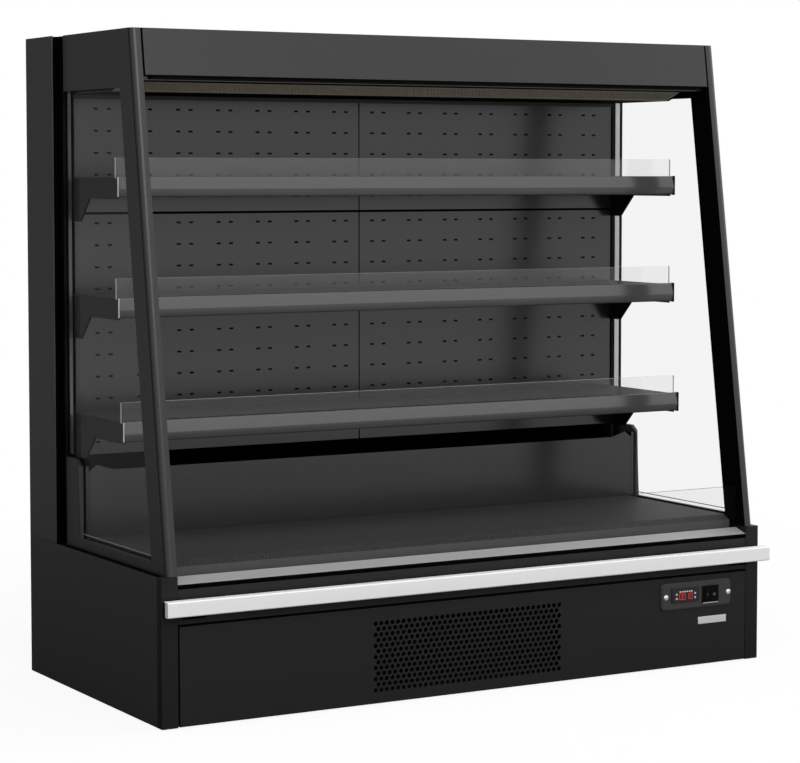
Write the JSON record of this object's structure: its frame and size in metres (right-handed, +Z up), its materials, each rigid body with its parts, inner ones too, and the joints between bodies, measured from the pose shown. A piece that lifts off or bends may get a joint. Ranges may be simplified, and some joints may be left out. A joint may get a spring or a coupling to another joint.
{
  "type": "open multideck display fridge",
  "caption": "Open-fronted refrigerated display cabinet: shelves with price rails, glazed ends, sloped canopy, bumper rail and a machine base with intake grille and controls.",
  "frame": {"origin": "centre of the footprint, bumper included, on the floor", "axes": "+X to the right seen from the front, +Y to the back, +Z up"},
  "size_m": [1.506, 0.738, 1.41],
  "materials": {
    "black_coat": "satin black powder coat",
    "inner_coat": "satin dark grey powder coat",
    "body_coat": "satin dark grey coated sheet over foam",
    "bumper_aluminium": "bright satin anodised",
    "sill_steel": "brushed along its length",
    "zinc_steel": "galvanised",
    "coil_aluminium": "mill finish",
    "pane_glass": "clear, polished edges",
    "riser_clear": "clear, glossy",
    "rail_grey": "semi-gloss grey",
    "bracket_black": "matt black",
    "honeycomb_grey": "matt",
    "lamp_white": "frosted diffuser, unlit",
    "control_grey": "satin grey",
    "controller_black": "gloss black",
    "key_white": "matt pale",
    "switch_black": "matt black",
    "fan_black": "matt black",
    "compressor_black": "gloss black enamel"
  },
  "bodies": {
    "cabinet": {"base_side_left": "black_coat", "base_side_right": "black_coat", "corner_post_left": "black_coat", "corner_post_right": "black_coat", "base_back_cover": "black_coat", "front_panel": "black_coat", "front_fascia": "black_coat", "end_frame_left": "black_coat", "end_frame_right": "black_coat", "header_panel": "black_coat", "roof_panel": "black_coat", "back_panel_upper_left": "inner_coat", "back_panel_upper_right": "inner_coat", "back_panel_lower_left": "inner_coat", "back_panel_lower_right": "inner_coat", "duct_cover": "inner_coat", "deck_pan": "inner_coat", "canopy_liner": "inner_coat", "shelf_tray_1": "inner_coat", "shelf_tray_2": "inner_coat", "shelf_tray_3": "inner_coat", "insulated_tub": "body_coat", "insulated_rear_body": "body_coat", "bumper_rail": "bumper_aluminium", "front_sill": "sill_steel", "base_chassis": "zinc_steel", "fan_shroud": "zinc_steel", "control_box": "zinc_steel", "condenser_coil": "coil_aluminium", "evaporator_coil": "coil_aluminium", "evaporator_fan_plate": "coil_aluminium", "end_glass_left": "pane_glass", "end_glass_right": "pane_glass", "deck_riser": "riser_clear", "shelf_riser_1": "riser_clear", "shelf_riser_2": "riser_clear", "shelf_riser_3": "riser_clear", "price_rail_1": "rail_grey", "price_rail_2": "rail_grey", "price_rail_3": "rail_grey", "shelf_bracket_1_left": "bracket_black", "shelf_bracket_1_right": "bracket_black", "shelf_bracket_2_left": "bracket_black", "shelf_bracket_2_right": "bracket_black", "shelf_bracket_3_left": "bracket_black", "shelf_bracket_3_right": "bracket_black", "air_honeycomb": "honeycomb_grey", "canopy_lamp": "lamp_white", "control_plate": "control_grey", "temperature_controller": "controller_black", "switch_bezel": "switch_black", "compressor": "compressor_black"},
    "rocker": {"switch_rocker": "switch_black"},
    "key_upper_left": {"controller_key_upper_left": "key_white"},
    "key_lower_left": {"controller_key_lower_left": "key_white"},
    "key_upper_right": {"controller_key_upper_right": "key_white"},
    "key_lower_right": {"controller_key_lower_right": "key_white"},
    "condenser_rotor": {"condenser_fan": "fan_black"},
    "evaporator_rotor_left": {"evaporator_fan_left": "fan_black"},
    "evaporator_rotor_right": {"evaporator_fan_right": "fan_black"}
  },
  "joints": [
    {"name": "switch_rocker_tilt", "type": "hinge", "parent": "cabinet", "child": "rocker", "pos_m": [0.6092, -0.334, 0.163], "axis": [0, 0, 1], "range_deg": [0, 20]},
    {"name": "key_press_upper_left", "type": "slide", "parent": "cabinet", "child": "key_upper_left", "axis": [0, 1, 0], "range_m": [0, 0.0008], "stiffness_N_per_m": 300},
    {"name": "key_press_lower_left", "type": "slide", "parent": "cabinet", "child": "key_lower_left", "axis": [0, 1, 0], "range_m": [0, 0.0008], "stiffness_N_per_m": 300},
    {"name": "key_press_upper_right", "type": "slide", "parent": "cabinet", "child": "key_upper_right", "axis": [0, 1, 0], "range_m": [0, 0.0008], "stiffness_N_per_m": 300},
    {"name": "key_press_lower_right", "type": "slide", "parent": "cabinet", "child": "key_lower_right", "axis": [0, 1, 0], "range_m": [0, 0.0008], "stiffness_N_per_m": 300},
    {"name": "condenser_fan_spin", "type": "hinge", "parent": "cabinet", "child": "condenser_rotor", "pos_m": [-0.0282, -0.2247, 0.1061], "axis": [0, 1, 0], "continuous": true},
    {"name": "evaporator_fan_spin_left", "type": "hinge", "parent": "cabinet", "child": "evaporator_rotor_left", "pos_m": [-0.3, -0.087, 0.28], "axis": [0, 1, 0], "continuous": true},
    {"name": "evaporator_fan_spin_right", "type": "hinge", "parent": "cabinet", "child": "evaporator_rotor_right", "pos_m": [0.3, -0.087, 0.28], "axis": [0, 1, 0], "continuous": true}
  ]
}
